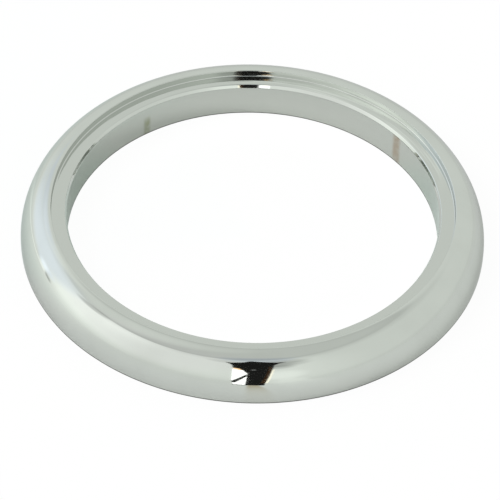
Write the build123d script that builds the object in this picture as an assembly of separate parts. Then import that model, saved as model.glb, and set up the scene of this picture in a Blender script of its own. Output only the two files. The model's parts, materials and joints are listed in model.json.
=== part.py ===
from build123d import *
from math import atan2, degrees, hypot
import os

# Handle escutcheon: one turned ring that slides over a handle's sleeve and covers the gap behind it.
# It stands on its flat back face, with +Z along its axis and the origin at the centre of that face.

# Driving dimensions, in millimetres
BORE_DIAMETER = 50.8  # through hole for the sleeve
SEAT_WIDTH = 2.15  # flat ledge, from the bore out to the wall of the recess
RIM_WIDTH = 4.2  # domed rim, from the wall of the recess out to the skirt
SKIRT_HEIGHT = 0.7  # upright band below the dome
SEAT_HEIGHT = 5.1  # ledge above the back face
SEAT_DEPTH = 1.0  # ledge below the crest of the rim
BORE_EDGE_WIDTH = 0.27  # edge break between ledge and bore, across the ledge
BORE_EDGE_DEPTH = 0.46  # the same edge break, down the bore
RECESS_CORNER_RADIUS = 0.15  # left by the turning tool where the wall of the recess meets the ledge
CREST_EDGE_BREAK = 0.1  # narrow bevel between the dome and the recess
BACK_EDGE_BREAK = 0.2  # chamfer on both edges of the back face

# Places that follow from the driving dimensions
BORE_RADIUS = BORE_DIAMETER / 2
RECESS_RADIUS = BORE_RADIUS + SEAT_WIDTH
OUTER_RADIUS = RECESS_RADIUS + RIM_WIDTH
CREST_HEIGHT = SEAT_HEIGHT + SEAT_DEPTH
DOME_HEIGHT = CREST_HEIGHT - SKIRT_HEIGHT


def dome_arcs():
    """The dome's two tangent arcs, a draughtsman's quarter oval: upright at the skirt, level at the crest."""
    span = hypot(RIM_WIDTH, DOME_HEIGHT)
    excess = DOME_HEIGHT - RIM_WIDTH
    side_radius = span * (span + excess) / (2 * RIM_WIDTH)
    crest_radius = span * (span - excess) / (2 * DOME_HEIGHT)
    joint_angle = degrees(atan2(RIM_WIDTH, DOME_HEIGHT))
    side_centre = (OUTER_RADIUS - side_radius, SKIRT_HEIGHT)
    crest_centre = (RECESS_RADIUS, CREST_HEIGHT - crest_radius)
    side = CenterArc(side_centre, side_radius, 0, joint_angle)
    crest = CenterArc(crest_centre, crest_radius, joint_angle, 90 - joint_angle)
    return side, crest


def corner_at(section, place):
    """The corner of the half section that stands at a radius and a height."""
    return section.vertices().sort_by_distance(Vector(*place))[0]


def ring_section():
    """Half section of the ring, radius across and height up, with its corners finished."""
    crest_corner = (RECESS_RADIUS, CREST_HEIGHT)
    recess_corner = (RECESS_RADIUS, SEAT_HEIGHT)
    back_corners = [(BORE_RADIUS, 0), (OUTER_RADIUS, 0)]
    with BuildSketch(Plane.XZ) as section:
        with BuildLine():
            dome_arcs()
            Polyline(
                crest_corner,
                recess_corner,
                (BORE_RADIUS + BORE_EDGE_WIDTH, SEAT_HEIGHT),
                (BORE_RADIUS, SEAT_HEIGHT - BORE_EDGE_DEPTH),
                *back_corners,
                (OUTER_RADIUS, SKIRT_HEIGHT),
            )
        make_face()
        fillet(corner_at(section, recess_corner), RECESS_CORNER_RADIUS)
        chamfer(corner_at(section, crest_corner), CREST_EDGE_BREAK)
        for back_corner in back_corners:
            chamfer(corner_at(section, back_corner), BACK_EDGE_BREAK)
    return section.sketch


os.makedirs("parts", exist_ok=True)
escutcheon_ring = revolve(ring_section(), Axis.Z)
export_step(escutcheon_ring, "parts/escutcheon_ring.step")
print(f"ring {2 * OUTER_RADIUS:.2f} mm across, {CREST_HEIGHT:.2f} mm high, {escutcheon_ring.volume:.1f} cubic mm")
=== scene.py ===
# %% [markdown]
# A handle escutcheon is the ring that hides the hole behind a faucet or shower handle.
# It is turned from one piece of metal, polished and chrome plated: the whole job is one shape and one finish.
# Chrome shows little of itself: most of what the eye sees on it is the room. So the lesson has three parts,
# which are a very smooth ring, a finish with the small faults of real plating, and a studio worth mirroring.
# The packed model comes in first, because it says how large everything is.

# %% Load the packed ring
import json
from math import atan2, cos, hypot, pi, radians, sin

import bmesh
import bpy
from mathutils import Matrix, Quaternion, Vector


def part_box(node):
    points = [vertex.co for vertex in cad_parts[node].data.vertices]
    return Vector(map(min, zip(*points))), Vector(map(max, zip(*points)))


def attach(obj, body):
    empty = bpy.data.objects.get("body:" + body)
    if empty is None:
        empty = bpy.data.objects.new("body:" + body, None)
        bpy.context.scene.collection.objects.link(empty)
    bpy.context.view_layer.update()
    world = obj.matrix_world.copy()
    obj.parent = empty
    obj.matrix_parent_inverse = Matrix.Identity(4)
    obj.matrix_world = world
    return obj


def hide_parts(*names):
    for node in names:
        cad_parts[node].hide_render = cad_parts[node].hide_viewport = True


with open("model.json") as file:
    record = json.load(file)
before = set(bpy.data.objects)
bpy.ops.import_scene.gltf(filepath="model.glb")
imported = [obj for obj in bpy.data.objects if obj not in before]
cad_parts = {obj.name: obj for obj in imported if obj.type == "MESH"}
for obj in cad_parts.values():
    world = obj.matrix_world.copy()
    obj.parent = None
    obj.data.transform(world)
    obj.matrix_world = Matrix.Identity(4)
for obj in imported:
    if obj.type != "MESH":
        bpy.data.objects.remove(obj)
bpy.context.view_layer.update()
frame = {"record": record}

NODE = "escutcheon_ring"

# %% [markdown]
# The big sizes are read from the packed model, so the ring here can't drift from the one that was designed.
# The box gives the outside, and the mounts give the bore, the recess and the ledge.
# Only the small sizes that the packed model doesn't name are written here, in metres.

# %% Sizes
MM = 0.001
SEAT_DEPTH = 1.0 * MM
SKIRT_HEIGHT = 0.7 * MM
BORE_EDGE_WIDTH = 0.27 * MM
BORE_EDGE_DEPTH = 0.46 * MM

mounts = {mount["name"]: mount for mount in frame["record"]["mounts"]}
outer_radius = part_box(NODE)[1].x
bore_radius = mounts["sleeve_bore"]["dims"]["r_mm"] * MM
recess_radius = mounts["handle_recess"]["dims"]["r_mm"] * MM
seat_height = mounts["seat_face"]["pos_m"][2]
crest_height = seat_height + SEAT_DEPTH
ledge_radius = bore_radius + BORE_EDGE_WIDTH
bore_edge_height = seat_height - BORE_EDGE_DEPTH
for name, radius in (("bore", bore_radius), ("recess", recess_radius), ("outside", outer_radius)):
    print(name, "radius, in mm:", round(radius / MM, 2))

# %% [markdown]
# A lathe cuts the ring by moving a tool along an outline while the work turns.
# Blender can do the same: draw half of the section, then spin it once round the Z axis.
# The outline could be typed as a long list of points, but a point that is extruded along straight runs,
# and spun about a centre for each arc, draws it the way a turner would read it off a drawing.
# The dome is two arcs that meet without a kink, so no crease shows in the mirror.

# %% Draw the section
DOME_SIDE_STEPS = 16
DOME_CREST_STEPS = 22
GUARD = 0.25 * MM
SHORT_GUARD = 0.1 * MM
ACROSS = Vector((0, -1, 0))


def run_to(bm, point, radius, height, guard=GUARD):
    """Extrudes the last point of the outline in a straight run, with a guard point near each end."""
    start = point.co.copy()
    end = Vector((radius, 0, height))
    inset = (end - start).normalized() * guard
    for place in (start + inset, end - inset, end):
        point = bmesh.ops.extrude_vert_indiv(bm, verts=[point])["verts"][0]
        point.co = place
    return point


def arc_about(bm, point, centre, angle, steps):
    """Spins the last point of the outline about a centre, up and inwards."""
    spun = bmesh.ops.spin(bm, geom=[point], cent=centre, axis=ACROSS, angle=angle, steps=steps)
    return next(item for item in spun["geom_last"] if isinstance(item, bmesh.types.BMVert))


def dome_arcs():
    """Centre and angle of the dome's two arcs, upright at the skirt and level at the crest."""
    width = outer_radius - recess_radius
    height = crest_height - SKIRT_HEIGHT
    span = hypot(width, height)
    side_radius = span * (span + height - width) / (2 * width)
    crest_radius = span * (span - height + width) / (2 * height)
    meeting = atan2(width, height)
    side = (Vector((outer_radius - side_radius, 0, SKIRT_HEIGHT)), meeting)
    crest = (Vector((recess_radius, 0, crest_height - crest_radius)), pi / 2 - meeting)
    return side, crest


def draw_section(bm):
    """Half of the ring's section: back, skirt, dome, recess, ledge, edge break and bore."""
    (side_centre, side_angle), (crest_centre, crest_angle) = dome_arcs()
    first = bm.verts.new((bore_radius, 0, 0))
    point = run_to(bm, first, outer_radius, 0)
    point = run_to(bm, point, outer_radius, SKIRT_HEIGHT)
    point = arc_about(bm, point, side_centre, side_angle, DOME_SIDE_STEPS)
    point = arc_about(bm, point, crest_centre, crest_angle, DOME_CREST_STEPS)
    point = run_to(bm, point, recess_radius, seat_height)
    point = run_to(bm, point, ledge_radius, seat_height)
    point = run_to(bm, point, bore_radius, bore_edge_height, SHORT_GUARD)
    run_to(bm, point, bore_radius, 0)


ring_mesh = bmesh.new()
draw_section(ring_mesh)
print("section points:", len(ring_mesh.verts))

# %% [markdown]
# One full spin closes the ring. A mirror finish shows every facet, so it takes a few hundred steps.
# No plated edge is knife sharp: polishing and plating round it, and that round catches a thin line of light.
# A Bevel modifier could do this by angle, but each edge has its own size, so each loop is found by its place.
# The guard points of the section become guard loops: they keep a flat face's shading flat up to its round,
# where a smooth normal would otherwise bend the mirror image across the face.

# %% Spin the ring and round its edges
RING_STEPS = 400
SAME_POINT = 0.0005 * MM
SAME_LOOP = 0.002 * MM

# Radius and height of each edge, the size of its round, and the segments in it
EDGE_ROUNDS = (
    (recess_radius, crest_height, 0.1 * MM, 4),
    (recess_radius, seat_height, 0.15 * MM, 5),
    (ledge_radius, seat_height, 0.05 * MM, 2),
    (bore_radius, bore_edge_height, 0.05 * MM, 2),
    (bore_radius, 0, 0.2 * MM, 3),
    (outer_radius, 0, 0.2 * MM, 3),
)


def loop_at(bm, radius, height):
    """The edges of the loop that runs round the ring at a radius and a height."""
    def on_loop(vert):
        off_radius = abs(hypot(vert.co.x, vert.co.y) - radius)
        return off_radius < SAME_LOOP and abs(vert.co.z - height) < SAME_LOOP
    return [edge for edge in bm.edges if all(on_loop(vert) for vert in edge.verts)]


def round_edge(bm, radius, height, size, segments):
    """Bevels one loop of the ring into a small round."""
    edges = loop_at(bm, radius, height)
    bmesh.ops.bevel(bm, geom=edges, offset=size, offset_type="OFFSET", segments=segments,
                    profile=0.5, affect="EDGES", material=-1)
    print("rounded", len(edges), "edges by", round(size / MM, 3), "mm")


section = ring_mesh.verts[:] + ring_mesh.edges[:]
bmesh.ops.spin(ring_mesh, geom=section, cent=(0, 0, 0), axis=(0, 0, 1), angle=2 * pi,
               steps=RING_STEPS, use_merge=True)
bmesh.ops.remove_doubles(ring_mesh, verts=ring_mesh.verts[:], dist=SAME_POINT)
bmesh.ops.recalc_face_normals(ring_mesh, faces=ring_mesh.faces[:])
for edge_round in EDGE_ROUNDS:
    round_edge(ring_mesh, *edge_round)

# %% [markdown]
# The packed ring has the right shape, but its facets are too coarse for a mirror.
# Its mesh isn't changed. The finer ring stands in for it, in the same place, and moves with the same body.
# Smooth shading on every face lets the light run over the dome without steps.

# %% Make the ring an object
def finished_piece(name, bm):
    """An object at the origin that holds the shape, smooth shaded."""
    mesh = bpy.data.meshes.new(name)
    for face in bm.faces:
        face.smooth = True
    bm.to_mesh(mesh)
    bm.free()
    piece = bpy.data.objects.new(name, mesh)
    bpy.context.scene.collection.objects.link(piece)
    return piece


ring = finished_piece("plated_ring", ring_mesh)
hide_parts(NODE)
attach(ring, "root")
print("ring faces:", len(ring.data.polygons))

# %% [markdown]
# Finishes are node trees, and their maths is easier to read as plain expressions.
# A small class stands for one output socket: adding or multiplying it adds a Math node.
# Every other node comes from one method that sets the node's options first and then its sockets.

# %% Tools for node trees
class Wire:
    """One output socket. Arithmetic on it adds Math nodes to its tree."""

    def __init__(self, bench, socket):
        self.bench = bench
        self.socket = socket

    def __add__(self, other):
        return self.bench.math("ADD", self, other)

    __radd__ = __add__

    def __sub__(self, other):
        return self.bench.math("SUBTRACT", self, other)

    def __rsub__(self, other):
        return self.bench.math("SUBTRACT", other, self)

    def __mul__(self, other):
        return self.bench.math("MULTIPLY", self, other)

    __rmul__ = __mul__

    def __pow__(self, power):
        return self.bench.math("POWER", self, power)


class Bench:
    """A node tree, with one way to add a node to it."""

    def __init__(self, tree):
        self.tree = tree
        tree.nodes.clear()

    def node(self, kind, settings=None, sockets=None, out=0):
        """Adds a node, sets its options, fills its sockets and gives one of its outputs."""
        made = self.tree.nodes.new(kind)
        for name, value in (settings or {}).items():
            setattr(made, name, value)
        for name, value in (sockets or {}).items():
            if isinstance(value, Wire):
                self.tree.links.new(value.socket, made.inputs[name])
            else:
                made.inputs[name].default_value = value
        return Wire(self, made.outputs[out]) if len(made.outputs) else None

    def same_node(self, wire, out):
        """Another output of the node that a wire comes from."""
        return Wire(self, wire.socket.node.outputs[out])

    def math(self, operation, first, second=0.0):
        return self.node("ShaderNodeMath", {"operation": operation}, {0: first, 1: second})

    def split(self, vector):
        """The X, Y and Z of a vector, as three wires."""
        x = self.node("ShaderNodeSeparateXYZ", {}, {0: vector})
        return [Wire(self, socket) for socket in x.socket.node.outputs]

    def step(self, value, low, high):
        """0 below low, 1 above high and a smooth rise between them. With low above high it falls."""
        settings = {"interpolation_type": "SMOOTHSTEP"}
        sockets = {"Value": value, "From Min": low, "From Max": high}
        return self.node("ShaderNodeMapRange", settings, sockets)

    def band(self, value, starts, full, fades, gone):
        """A smooth rise from starts to full, 1 as far as fades, and a smooth fall that ends at gone."""
        return self.step(value, starts, full) * self.step(value, gone, fades)

    def mix(self, factor, first, second):
        """A blend of two colours."""
        return self.node("ShaderNodeMix", {"data_type": "RGBA"}, {0: factor, 6: first, 7: second}, 2)

    def mix_shader(self, factor, first, second):
        """A blend of two surfaces."""
        return self.node("ShaderNodeMixShader", {}, {0: factor, 1: first, 2: second})

    def glow(self, colour, strength=1.0):
        """A surface that gives light."""
        return self.node("ShaderNodeEmission", {}, {"Color": colour, "Strength": strength})

    def scale(self, vector, size):
        return self.node("ShaderNodeVectorMath", {"operation": "SCALE"}, {0: vector, "Scale": size})

    def dot(self, vector, direction):
        settings = {"operation": "DOT_PRODUCT"}
        return self.node("ShaderNodeVectorMath", settings, {0: vector, 1: direction}, "Value")

    def noise(self, vector, size, detail=2.0, along=None):
        """Noise from 0 to 1. With a fourth coordinate it can be stretched along the ring without a seam."""
        settings = {"noise_dimensions": "3D" if along is None else "4D"}
        sockets = {"Vector": vector, "Scale": size, "Detail": detail}
        if along is not None:
            sockets["W"] = along
        return self.node("ShaderNodeTexNoise", settings, sockets)


def new_finish(name):
    """A material and the bench to build it on."""
    material = bpy.data.materials.new(name)
    material.use_nodes = True
    return material, Bench(material.node_tree)


print("node tools:", [name for name in vars(Bench) if not name.startswith("_")])

# %% [markdown]
# Each face of the ring was worked in its own way, so the finish first needs to know which face it is on.
# Painted masks or separate materials would do, but the ring is turned, so radius and height are enough.
# Patterns read Object coordinates in millimetres, so they stay put on the ring from any side.
# The tool left rings on its way round: noise that is fine across the section and slow along the ring.

# %% Faces and marks of the ring
ALONG_RING = 0.1
STREAK_CORE = 0.25
STREAK_FADE = 1.5

# Colour, angle round the ring, half width and top in millimetres
BORE_STREAKS = (
    ((0.44, 0.38, 0.31, 1), radians(38.8), 1.1, 9.0),
    ((0.38, 0.40, 0.30, 1), radians(127.2), 0.8, 3.6),
)


def ring_faces(bench, radius, z):
    """Masks of the bore, the back and the recess, in millimetres, each soft over a few hundredths."""
    bore_mm = bore_radius / MM
    ledge_mm = ledge_radius / MM
    recess_mm = recess_radius / MM
    seat_mm = seat_height / MM
    bore = bench.step(radius, bore_mm + 0.04, bore_mm + 0.01)
    back = bench.step(z, 0.05, 0.02)
    recess = bench.band(radius, ledge_mm, ledge_mm + 0.06, recess_mm + 0.02, recess_mm + 0.05)
    return bore, back, recess * bench.step(z, seat_mm - 0.2, seat_mm - 0.1)


def rings_of_tool(bench, x, y, z, radius, per_mm):
    """Noise that is fine across the section and runs round the ring, with no seam."""
    across = bench.node("ShaderNodeCombineXYZ", {}, {0: x * ALONG_RING, 1: y * ALONG_RING, 2: z * per_mm})
    return bench.noise(across, 1.0, 2.0, radius * per_mm)


def bore_streak(bench, x, y, z, angle, half_width, top):
    """A soft upright streak on the bore at one angle round the ring, which fades out below its top."""
    out = x * cos(angle) + y * sin(angle)
    side = y * cos(angle) - x * sin(angle)
    streak = bench.step(bench.math("ABSOLUTE", side), half_width, STREAK_CORE * half_width)
    return streak * bench.step(out, 0, 1) * bench.step(z, top, top - STREAK_FADE)


# Two faint brown streaks on the bore.
print("rack marks:", len(BORE_STREAKS))

# %% [markdown]
# Chrome plate is a metal mirror that returns about seven tenths of the light and is close to neutral.
# It is a little hazy where the polish is less even, and rougher in the recess and the bore,
# which the polishing wheel can't reach well. Both are also painted darker, as painted shade.
# Where the tool chattered in the recess, its grooves are painted brighter, as painted glints.
# The bore has two faint brown upright streaks, at two angles round the ring.

# %% Colour of the plate
CHROME = (0.688, 0.712, 0.681, 1)
CHROME_HAZE = (0.660, 0.683, 0.653, 1)
# Painted shade: the recess and the bore are painted darker than the dome.
SHADED_RECESS_CHROME = (0.640, 0.662, 0.633, 1)
# Painted glints: the chatter grooves in the recess are painted brighter.
GLINT_CUT_CHROME = (0.745, 0.771, 0.737, 1)
SHADED_BORE_CHROME = (0.574, 0.595, 0.562, 1)
HAZE_RANGE = (0.35, 0.75)
GLINT_CUT_RANGE = (0.38, 0.62)
BLOTCH_RANGE = (0.3, 0.6)
BLOTCH_SCALE = 0.9
FAINTEST_STREAK = 0.55


def plate_colour(bench, in_mm, bore, recess, mottle, glint_cuts):
    """Colour of the plate, from the masks of its faces and its haze, with painted glints on the chatter
    grooves.
    """
    x, y, z = bench.split(in_mm)
    colour = bench.mix(bench.step(mottle, *HAZE_RANGE), CHROME, CHROME_HAZE)
    # Painted shade: the bore is painted darker.
    colour = bench.mix(bore, colour, SHADED_BORE_CHROME)
    # Painted shade in the recess, with painted glints on its chatter grooves.
    colour = bench.mix(recess, colour, bench.mix(glint_cuts, SHADED_RECESS_CHROME, GLINT_CUT_CHROME))
    blotches = bench.step(bench.noise(in_mm, BLOTCH_SCALE), *BLOTCH_RANGE)
    strength = FAINTEST_STREAK + (1 - FAINTEST_STREAK) * blotches
    # Two faint brown streaks on the bore, stronger in blotches.
    for streak_colour, angle, half_width, top in BORE_STREAKS:
        mark = bore_streak(bench, x, y, z, angle, half_width, top) * bore
        colour = bench.mix(mark * strength, colour, streak_colour)
    return colour


# The bore's share includes its painted shade.
print("share of light that the dome and the bore return:", CHROME[1], SHADED_BORE_CHROME[1])

# %% [markdown]
# Real plating isn't perfect. Polishing leaves fine lines round the ring and a slow waviness, both far too
# shallow to see except as a softness in the mirror, so they are bump and roughness and not geometry.
# The recess, the bore and the back keep the tool's lines, and the recess its grooves,
# which are deepest where the tool chattered.

# %% The chrome plate
EDGE_TINT = (0.8, 0.8, 0.8, 1)
MOTTLE_SCALE = 0.16
WAVE_SCALE = 0.35
LINES_PER_MM = 9.0
GROOVES_PER_MM = 2.4
CHATTER_ANGLE = radians(52)
CHATTER_REACH = (18.5, 23)
BUMP_DEPTH = 3e-6

# Roughness of the best polish, and what haze, lines and each face add to it
POLISH = 0.02
HAZE_ROUGHNESS = 0.03
LINE_ROUGHNESS = 0.02
BORE_ROUGHNESS = 0.1
BACK_ROUGHNESS = 0.22
RECESS_ROUGHNESS = 0.03

# Heights of lines and grooves, as shares of the bump's depth
POLISH_LINES = 0.04
TURNED_LINES = 0.3
RECESS_LINES = 1.4
RECESS_GROOVES = 2
CHATTER_GROOVES = 9


def plate_roughness(mottle, lines, bore, back, recess):
    """Softness of the mirror: least on the dome, and most on the back."""
    polish = POLISH + HAZE_ROUGHNESS * mottle + LINE_ROUGHNESS * lines
    return polish + BORE_ROUGHNESS * bore + BACK_ROUGHNESS * back + RECESS_ROUGHNESS * recess


def plate_height(waves, lines, grooves, turned, recess, chatter):
    """Height of the waves, lines and grooves, as a share of the bump's depth."""
    line_height = POLISH_LINES + TURNED_LINES * turned + RECESS_LINES * recess
    groove_height = RECESS_GROOVES * recess + CHATTER_GROOVES * chatter
    return waves + lines * line_height + grooves * groove_height


def chrome_plate():
    material, bench = new_finish("chrome_plate")
    in_mm = bench.scale(bench.node("ShaderNodeTexCoord", out="Object"), 1 / MM)
    x, y, z = bench.split(in_mm)
    radius = (x * x + y * y) ** 0.5
    bore, back, recess = ring_faces(bench, radius, z)
    turned = bench.math("MAXIMUM", bore, back)
    chatter = recess * bench.step(x * cos(CHATTER_ANGLE) + y * sin(CHATTER_ANGLE), *CHATTER_REACH)

    mottle = bench.noise(in_mm, MOTTLE_SCALE, 3.0)
    waves = bench.noise(in_mm, WAVE_SCALE, 1.0)
    lines = rings_of_tool(bench, x, y, z, radius, LINES_PER_MM)
    grooves = rings_of_tool(bench, x, y, z, radius, GROOVES_PER_MM)

    # The chatter grooves passed here get painted glints.
    colour = plate_colour(bench, in_mm, bore, recess, mottle, chatter * bench.step(grooves, *GLINT_CUT_RANGE))
    roughness = plate_roughness(mottle, lines, bore, back, recess)
    height = plate_height(waves, lines, grooves, turned, recess, chatter)
    bump = bench.node("ShaderNodeBump", {}, {"Strength": 1.0, "Distance": BUMP_DEPTH, "Height": height})
    plate = bench.node("ShaderNodeBsdfPrincipled", {}, {
        "Base Color": colour, "Metallic": 1.0, "Roughness": roughness,
        "Normal": bump, "Specular Tint": EDGE_TINT})
    bench.node("ShaderNodeOutputMaterial", {}, {"Surface": plate})
    return material


ring.data.materials.append(chrome_plate())
print("finish:", ring.data.materials[0].name, "with", len(ring.data.materials[0].node_tree.nodes), "nodes")

# %% [markdown]
# The studio is a white light tent. To chrome it is the whole world, so the world shader is the tent.
# Area lamps would do too, but they show as hard rectangles in a mirror, and cloth glows with soft edges.
# The tent is laid out by heading, in degrees round the ring and up from the floor.
# Its walls come first. The lamp stands outside on the left, so they are brightest there, with a fold in the
# cloth and a dark gap beside it. They fade to the front and to the right, and towards the floor.

# %% The walls of the tent
WALL = 1.01
FOLD_LIGHT = 0.4
GAP_SHADE = 0.5
FOOT_SHADE = 0.06
FRONT_SHADE = 0.08
LAMP_FOOT = 0.64

# Where the lamp's glow starts to change and has changed, in degrees round the ring, and by how much
LAMP_STEPS = ((-165, -128, 0.345), (-112, -96, 0.2), (-85, -42, -0.335), (5, 65, -0.21))

# Soft edges of the fold, the gap and the front, in degrees round the ring
FOLD_AROUND = (-116, -111, -109, -105)
GAP_AROUND = (-108, -105.5, -103, -100.5)
FRONT_AROUND = (-66, -38, -12, 5)

# Soft edges of the same and of the walls' foot, as sines of the elevation
LAMP_RISE = (-0.02, 0.25)
FOLD_TOP = (0.36, 0.15)
GAP_HEIGHT = (0.002, 0.01, 0.04, 0.1)
FRONT_TOP = (0.4, 0.02)
FOOT_TOP = (0.12, -0.02)


def heading(azimuth, elevation):
    """Direction from the ring, in degrees. Azimuth 0 is towards the camera and 90 to its right."""
    a, e = radians(azimuth), radians(elevation)
    return Vector((sin(a) * cos(e), -cos(a) * cos(e), sin(e)))


def wall_light(bench, direction):
    """Level of the walls. The direction's Z is the sine of the elevation."""
    x, y, z = bench.split(direction)
    around = bench.math("ARCTAN2", x, 0 - y) * (180 / pi)
    lit = 0.0
    for start, end, change in LAMP_STEPS:
        lit = lit + change * bench.step(around, start, end)
    lit = lit * (LAMP_FOOT + (1 - LAMP_FOOT) * bench.step(z, *LAMP_RISE))
    fold = bench.band(around, *FOLD_AROUND) * bench.step(z, *FOLD_TOP)
    gap = bench.band(around, *GAP_AROUND) * bench.band(z, *GAP_HEIGHT)
    front = bench.band(around, *FRONT_AROUND) * bench.step(z, *FRONT_TOP)
    foot = bench.step(z, *FOOT_TOP)
    return WALL + lit + FOLD_LIGHT * fold - GAP_SHADE * gap - FOOT_SHADE * foot - FRONT_SHADE * front


print("direction to the camera's right:", [round(part, 3) for part in heading(90, 0)])

# %% [markdown]
# The roof is a darker round of cloth with a sewn seam near its edge, and the walls darken a little under it.
# Cloth is never even: it sags, doubles at a hem and takes light from its neighbours.
# A noise could make it uneven, but the ring is a lens that shows each part of the tent in one place.
# So the few uneven parts that show on it are put where they hang, as soft round patches.
# The cloth has a faint green cast. It is cool at the back left and over the opening, and plainer in front.

# %% The roof and the cloth
CLOTH = (0.963, 1, 0.955, 1)
COOL_CLOTH = (0.915, 0.98, 1.045, 1)
PLAIN_CLOTH = (0.964, 0.982, 0.958, 1)
TENT_LEVEL = 0.81
ROOF = 0.84
ROOF_LIGHT = 0.2
SEAM_SHADE = 0.05
EAVES_SHADE = 0.1
ROOF_TOP = (-155, 78)

# A patch has a heading, the degrees from it that are full, those at which it is gone, and some an amount
ROOF_PATCH = (ROOF_TOP, 27.5, 31.5)
INSIDE_SEAM = (ROOF_TOP, 21, 27.5)
EAVES_PATCH = (ROOF_TOP, 29, 41)
LIT_ROOF = ((-135, 58), 6, 26)
OPEN_BACK = ((-178, 44), 10, 24)
PLAIN_PATCH = ((-55, 45), 25, 50)
COOL_PATCHES = (
    ((-128, 28), 8, 30),  # wall at the back left
    ((-154, 37), 4, 12),  # its far end
    ((-111, 12), 4, 12),  # its foot beside the fold
    ((8, 72), 3, 13),  # over the opening
)
ADDED_LIGHT = (
    ((15, 17), 2, 13, 0.18),  # beside the opening
    ((18, 0), 2, 10, 0.15),  # its foot
)
UNEVEN_CLOTH = (
    ((-153, 45), 3, 11, 0.15),  # glow at the back left
    ((-103, 51), 2, 8, -0.3),  # slack cloth over the fold
    ((14, 41), 1, 9, -0.26),  # edge of the opening
    ((14, 50), 1, 9, -0.26),  # the same edge, higher
    ((16, 52), 3, 14, -0.24),  # right of the opening
    ((22, 61), 2, 10, -0.24),  # above it on the right
    ((-16, 61), 1, 7, -0.15),  # above it on the left
    ((8, 72), 3, 13, -0.16),  # over the opening
)


def patch(bench, direction, place, full, gone):
    """1 within some degrees of a heading, 0 beyond some more and soft between."""
    nearness = bench.dot(direction, heading(*place))
    return bench.step(nearness, cos(radians(gone)), cos(radians(full)))


def under_roof(bench, direction, level):
    """Lays the roof over the walls, with its seam, its lit side and the shade under its edge."""
    roof = patch(bench, direction, *ROOF_PATCH)
    seam = roof - patch(bench, direction, *INSIDE_SEAM)
    lit_side = patch(bench, direction, *LIT_ROOF)
    eaves = patch(bench, direction, *EAVES_PATCH) * (1 - patch(bench, direction, *OPEN_BACK))
    level = level * (1 - EAVES_SHADE * eaves)
    return level * (1 - roof) + (ROOF + ROOF_LIGHT * lit_side - SEAM_SHADE * seam) * roof


def tent_light(bench, direction):
    """Colour of the tent's cloth in each direction."""
    level = wall_light(bench, direction)
    for place, full, gone, amount in ADDED_LIGHT:
        level = level + amount * patch(bench, direction, place, full, gone)
    level = under_roof(bench, direction, level)
    for place, full, gone, amount in UNEVEN_CLOTH:
        level = level * (1 + amount * patch(bench, direction, place, full, gone))
    cool = 0.0
    for cool_patch in COOL_PATCHES:
        cool = bench.math("MAXIMUM", cool, patch(bench, direction, *cool_patch))
    cloth = bench.mix(patch(bench, direction, *PLAIN_PATCH), CLOTH, PLAIN_CLOTH)
    return bench.scale(bench.mix(cool, cloth, COOL_CLOTH), level * TENT_LEVEL)


print("patches on the cloth:", len(COOL_PATCHES) + len(ADDED_LIGHT) + len(UNEVEN_CLOTH))

# %% [markdown]
# The world gives every mirrored ray the tent's colour. The camera itself sees plain white behind the ring,
# as in a catalogue picture.

# %% The light tent
WHITE = (1, 1, 1, 1)


def light_tent():
    world = bpy.data.worlds.new("light_tent")
    bpy.context.scene.world = world
    world.use_nodes = True
    bench = Bench(world.node_tree)
    direction = bench.node("ShaderNodeTexCoord", out="Generated")
    seen = bench.node("ShaderNodeLightPath", out="Is Camera Ray")
    colour = bench.mix(seen, tent_light(bench, direction), WHITE)
    light = bench.node("ShaderNodeBackground", {}, {"Color": colour, "Strength": 1.0})
    bench.node("ShaderNodeOutputWorld", {}, {"Surface": light})
    print("tent nodes:", len(world.node_tree.nodes))


light_tent()

# %% [markdown]
# The lamp outside the tent gives the light a side. It is a soft sun from the left that mirrors don't see,
# because they see the glowing wall in front of it. It only lights the paper, and leaves a soft shade there
# beside the left of the ring's bore, which the bore mirrors.

# %% The lamp
LAMP_HEADING = (-85, 46)
LAMP_STRENGTH = 0.78
LAMP_SPREAD = radians(30)

lamp = bpy.data.objects.new("lamp", bpy.data.lights.new("lamp", "SUN"))
bpy.context.scene.collection.objects.link(lamp)
lamp.data.energy = LAMP_STRENGTH
lamp.data.angle = LAMP_SPREAD
lamp.rotation_mode = "QUATERNION"
lamp.rotation_quaternion = heading(*LAMP_HEADING).to_track_quat("Z", "Y")
lamp.visible_glossy = False
print("lamp strength:", LAMP_STRENGTH)

# %% [markdown]
# The floor is a sheet of white paper that sweeps up into the walls, so it has no horizon line.
# Close to the ring it is plain matt paper, which keeps the ring's shadow and gives the mirror a darker foot.
# Inside the bore its foot is painted paler, as painted light, with a little painted teal at both sides,
# and on the lamp's side it is painted greener, as a painted green tint of the light there.
# Where the ring stands on it, the paper is painted dark, as a painted shadow under the ring.

# %% The paper
PAPER = (0.765, 0.765, 0.765, 1)
# Painted light: a green tint painted on the paper on the lamp's side.
GREEN_LIT_PAPER = (0.71, 0.77, 0.755, 1)
# Painted light: a teal tint at both sides of the bore's pale foot.
TEAL_LIT_PAPER = (0.92, 0.99, 0.96, 1)
# Painted shadow: the paper under the ring is painted dark.
RING_SHADOW_PAPER = (0.2, 0.2, 0.19, 1)
FOOT_GLOW = 8.5 * MM
SIDEWAYS = (0.7, 0.95)
GREEN_LIGHT_PATCH = ((-117, 0), 23, 53)


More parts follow.
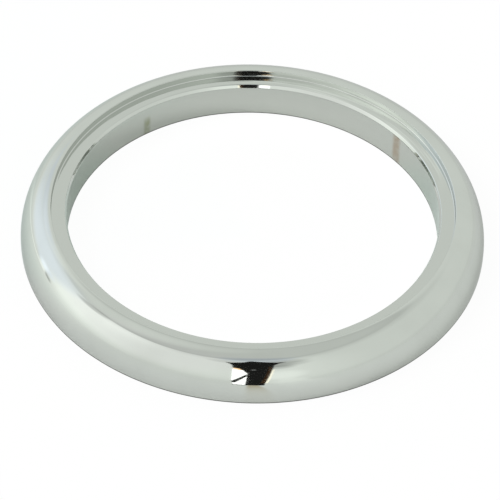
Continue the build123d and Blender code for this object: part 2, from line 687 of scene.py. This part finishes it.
def paper_colour(bench, far, outwards, covered):
    """Colour of the paper, from the distance and the direction out of the ring's centre."""
    foot = bench.band(far, bore_radius - FOOT_GLOW, bore_radius, bore_radius, outer_radius)
    sideways = bench.math("ABSOLUTE", bench.dot(outwards, heading(90, 0)))
    # Painted light: the foot inside the bore is painted paler, teal at its sides.
    lit_foot_paper = bench.mix(bench.step(sideways, *SIDEWAYS), WHITE, TEAL_LIT_PAPER)
    # Painted light: the paper on the lamp's side is painted greener.
    open_paper = bench.mix(patch(bench, outwards, *GREEN_LIGHT_PATCH), PAPER, GREEN_LIT_PAPER)
    # Painted shadow under the ring, where it is covered.
    return bench.mix(covered, bench.mix(foot, open_paper, lit_foot_paper), RING_SHADOW_PAPER)


print("pale foot inside the bore, in mm:", round(FOOT_GLOW / MM, 1))

# %% [markdown]
# Further out, the mirror sees the paper brighten towards the wall that it runs into. It does so sooner on the
# side of the lamp, and on the right it catches light that bounces off the wall. In front of the opening
# it lies in a narrow warm dusk. Only mirrored rays see all this.
# To the camera most of the floor glows plain white, so the background is clean and the shadow stays faint.

# %% The floor
FLOOR_REACH = 2.0
FLOOR_DEPTH = 0.00001
SHADE_EDGE = 0.05 * MM
SWEEP_DISTANCE = 28.0
SOONER_AT_LAMP = 0.5
LAMP_SIDE = (LAMP_HEADING, 45.6, 75.5)
BOUNCE = 0.48
BOUNCE_SIDE = ((72, 0), 8.1, 41.4)
WARM_SHADE = (0.33, 0.21, 0, 1)
DUSK = 0.5
DUSK_ACROSS = (-1.0, 0.3, 2.8, 4.4)
DUSK_FRONT = (-28, -52)
CAMERA_GLOW = 0.92
FLOOR_WHITE = 1.02


def flat_card(name, corners):
    """A stage card with these corners."""
    bm = bmesh.new()
    bm.faces.new([bm.verts.new(corner) for corner in corners])
    mesh = bpy.data.meshes.new(name)
    bm.to_mesh(mesh)
    bm.free()
    card = bpy.data.objects.new(name, mesh)
    bpy.context.scene.collection.objects.link(card)
    return card


def wall_share(bench, far, outwards):
    """How much of the wall's light the mirrored floor has taken on."""
    clear = bench.math("MAXIMUM", far * (1 / MM) - outer_radius / MM, 0)
    near_lamp = patch(bench, outwards, *LAMP_SIDE)
    sweep = bench.math("DIVIDE", clear, clear + SWEEP_DISTANCE * (1 - SOONER_AT_LAMP * near_lamp))
    outside = bench.step(far, outer_radius - SHADE_EDGE, outer_radius)
    bounce = BOUNCE * patch(bench, outwards, *BOUNCE_SIDE) * outside
    return bench.math("MAXIMUM", sweep, bounce)


def paper_floor():
    material, bench = new_finish("white_paper")
    place = bench.node("ShaderNodeTexCoord", out="Object")
    x, y, _ = bench.split(bench.scale(place, 1 / MM))
    outwards = bench.node("ShaderNodeVectorMath", {"operation": "NORMALIZE"}, {0: place})
    far = bench.node("ShaderNodeVectorMath", {"operation": "LENGTH"}, {0: place}, "Value")
    seen = bench.node("ShaderNodeLightPath", out="Is Camera Ray")
    glossy = bench.same_node(seen, "Is Glossy Ray")
    through = bench.same_node(seen, "Is Transmission Ray")
    covered = bench.band(far, bore_radius, bore_radius + SHADE_EDGE, outer_radius - SHADE_EDGE, outer_radius)

    colour = paper_colour(bench, far, outwards, covered)
    paper = bench.node("ShaderNodeBsdfDiffuse", {}, {"Color": colour})
    wall = bench.glow(tent_light(bench, outwards))
    mirrored = bench.mix_shader(glossy * wall_share(bench, far, outwards), paper, wall)
    dusk = bench.band(x, *DUSK_ACROSS) * bench.step(y, *DUSK_FRONT)
    mirrored = bench.mix_shader(glossy * dusk * DUSK, mirrored, bench.glow(WARM_SHADE))
    white = bench.math("MAXIMUM", seen, through) * CAMERA_GLOW * (1 - covered)
    surface = bench.mix_shader(white, mirrored, bench.glow(WHITE, FLOOR_WHITE))
    bench.node("ShaderNodeOutputMaterial", {}, {"Surface": surface})
    return material


signs = ((-1, -1), (1, -1), (1, 1), (-1, 1))
floor = flat_card("floor", [(sx * FLOOR_REACH, sy * FLOOR_REACH, -FLOOR_DEPTH) for sx, sy in signs])
floor.data.materials.append(paper_floor())
print("floor reach, in m:", FLOOR_REACH)

# %% [markdown]
# A tent needs an opening for the camera, and a polished ring always shows it as a dark patch at the front.
# Here it is a dark card with a bright gap beside it, cut by a strap, as the front of the dome mirrors them.
# Wall and floor cards share an outline at the floor, so the opening looks whole on the lower dome too.
# The cards are seen by mirrors only, so they neither block the view nor cast a shadow.

# %% Cards that only mirrors see
CARD_DISTANCE = 3.0
CARD_GAP = 0.01
FLOOR_CARD_GAP = 0.00001
MIRRORS_ONLY = ("camera", "diffuse", "shadow", "transmission", "volume_scatter")
FRONT = (0, 32)


def mirror_card(name, corners, colour, strength):
    """A glowing card that only mirrors see."""
    card = flat_card(name, corners)
    material, bench = new_finish(name)
    bench.node("ShaderNodeOutputMaterial", {}, {"Surface": bench.glow(colour, strength)})
    card.data.materials.append(material)
    for kind in MIRRORS_ONLY:
        setattr(card, "visible_" + kind, False)
    print("card:", name, "with", len(corners), "corners")


def on_wall(layer, *places):
    """Points on a flat wall at the front, at each azimuth and elevation. Higher layers lie nearer."""
    axis = heading(*FRONT)
    distance = CARD_DISTANCE - CARD_GAP * layer
    return [heading(*place) * (distance / heading(*place).dot(axis)) for place in places]


def on_floor(layer, *places):
    """Points on the floor, at each azimuth and distance in millimetres. Higher layers lie above."""
    lift = Vector((0, 0, FLOOR_CARD_GAP * layer))
    return [heading(azimuth, 0) * distance * MM + lift for azimuth, distance in places]


# %% [markdown]
# The opening is one dark outline, with a brown lining on its right, a strap across its gap and a small glint.
# Each corner is a heading as the ring sees it, so the outline can be read straight off the mirror image.

# %% The opening of the tent
DARK = (1, 1, 0.95, 1)
BROWN = (1, 0.5, 0.22, 1)
DARK_LEVEL = 0.014
STRAP_LEVEL = 0.03
LINING_LEVEL = 0.05
GLINT_LEVEL = 0.25

opening = on_wall(0, (-15, 60), (-11, 58.8), (-4, 62.8), (2, 68.8), (9, 65.5), (18, 60.5), (25, 60.5),
                  (19, 57.2), (14, 50), (10.9, 30), (9, 15), (7.2, -1), (-7, -1), (-7.6, 38), (-9, 50))
opening_foot = on_floor(1, (-6.9, 1900), (7.1, 1900), (5.4, 62), (-5.2, 62))
lining = on_wall(1, (10.3, 46), (11.8, 42), (10.9, 30), (9, 15), (7.2, -1), (5, -1), (7.2, 14), (9.1, 30))
strap = on_wall(2, (-7, 4), (-0.5, 21.5), (-0.7, 16), (-5.8, -1), (-7, -1))
glint = on_wall(1, (1.5, 34), (3.5, 34), (3.5, 31), (1.5, 31))
mirror_card("opening", opening, DARK, DARK_LEVEL)
mirror_card("opening_foot", opening_foot, DARK, DARK_LEVEL)
mirror_card("lining", lining, BROWN, LINING_LEVEL)
mirror_card("strap", strap, DARK, STRAP_LEVEL)
mirror_card("glint", glint, WHITE, GLINT_LEVEL)

# %% [markdown]
# Beside the opening the cloth is pulled back. Bright light comes through the gap and warms the hem above it,
# and on the other side the edge of the cloth catches a thin line of it.

# %% The light beside the opening
AMBER = (1, 0.66, 0.36, 1)
CREAM = (1, 0.95, 0.8, 1)
GAP_LEVEL = 1.9
HEM_LEVEL = 1.5

bright_gap = on_wall(1, (-7.6, 38.5), (-5, 37.3), (-2.8, 31), (-0.4, 22), (-1.2, -1), (-7, -1))
bright_gap_foot = on_floor(2, (-6.9, 1900), (-1.2, 1900), (-1, 70), (-5.2, 70))
warm_hem = on_wall(2, (-7.6, 38.5), (-5, 37.3), (-2.8, 31), (-3.8, 30), (-7.4, 35))
cloth_edge = on_wall(1, (11.4, 33), (12.3, 33), (10, 15), (8.2, -1), (7.2, -1), (9, 15))
mirror_card("bright_gap", bright_gap, WHITE, GAP_LEVEL)
mirror_card("bright_gap_foot", bright_gap_foot, WHITE, GAP_LEVEL)
mirror_card("warm_hem", warm_hem, AMBER, HEM_LEVEL)
mirror_card("cloth_edge", cloth_edge, CREAM, HEM_LEVEL)

# %% [markdown]
# The camera stands well back with a long lens, as for a catalogue picture, so the ring is hardly distorted.
# Its height, aim and slight roll could be set by eye, but values that fit the ring's outline are surer.
# The Standard view shows colours as they are written.

# %% The camera
CAMERA_ELEVATION = 43.654
CAMERA_DISTANCE = 449.2 * MM
CAMERA_AIM = Vector((-0.276, -2.906, 0)) * MM
CAMERA_ROLL = radians(1.67)
CAMERA_LENS = 235.42

camera = bpy.data.objects.new("camera", bpy.data.cameras.new("camera"))
bpy.context.scene.collection.objects.link(camera)
camera.data.lens = CAMERA_LENS
camera.location = heading(0, CAMERA_ELEVATION) * CAMERA_DISTANCE
camera.rotation_mode = "QUATERNION"
look = (CAMERA_AIM - camera.location).to_track_quat("-Z", "Y")
camera.rotation_quaternion = look @ Quaternion((0, 0, 1), CAMERA_ROLL)
bpy.context.scene.camera = camera
bpy.context.scene.view_settings.view_transform = "Standard"
print("camera place, in mm:", [round(part / MM, 1) for part in camera.location])

# %% [markdown]
# The finer ring must not grow past the packed one.
